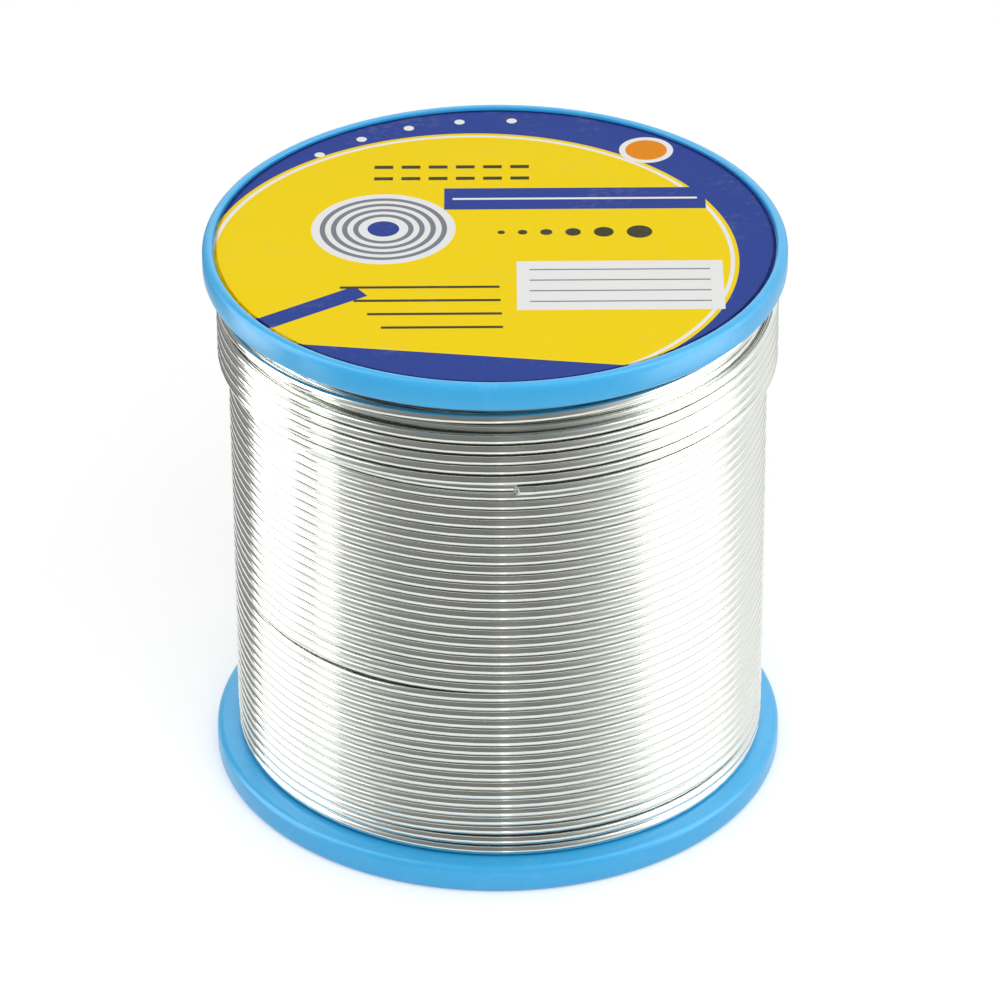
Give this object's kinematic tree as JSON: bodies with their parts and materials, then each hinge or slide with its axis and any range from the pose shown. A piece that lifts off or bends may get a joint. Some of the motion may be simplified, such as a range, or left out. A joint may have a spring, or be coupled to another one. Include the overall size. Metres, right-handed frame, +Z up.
{
  "type": "solder wire spool",
  "caption": "Moulded plastic spool with two rimmed flanges, wound with tin-lead solder wire, with a printed disc label over the hub of its upper flange.",
  "frame": {"origin": "middle of the lower flange's rim, on the surface that the spool stands on", "axes": "+Z up the spool's bore, towards the flange with the label; the wire's cut end is near the front, on the -Y side"},
  "size_m": [0.055, 0.055, 0.0556],
  "materials": {
    "spool_plastic": "satin light-blue moulded polystyrene",
    "label_print": "gloss-coated printed label, yellow and navy blue",
    "solder_alloy": "bright drawn tin-lead wire",
    "flux_rosin": "amber rosin"
  },
  "bodies": {
    "root": {"spool_lower_half": "spool_plastic", "spool_upper_half": "spool_plastic", "disc_label": "label_print", "wound_wire_core": "solder_alloy", "wound_wire_outer": "solder_alloy", "wire_free_end": "solder_alloy", "wire_start_tail": "solder_alloy", "flux_core": "flux_rosin"}
  },
  "joints": []
}
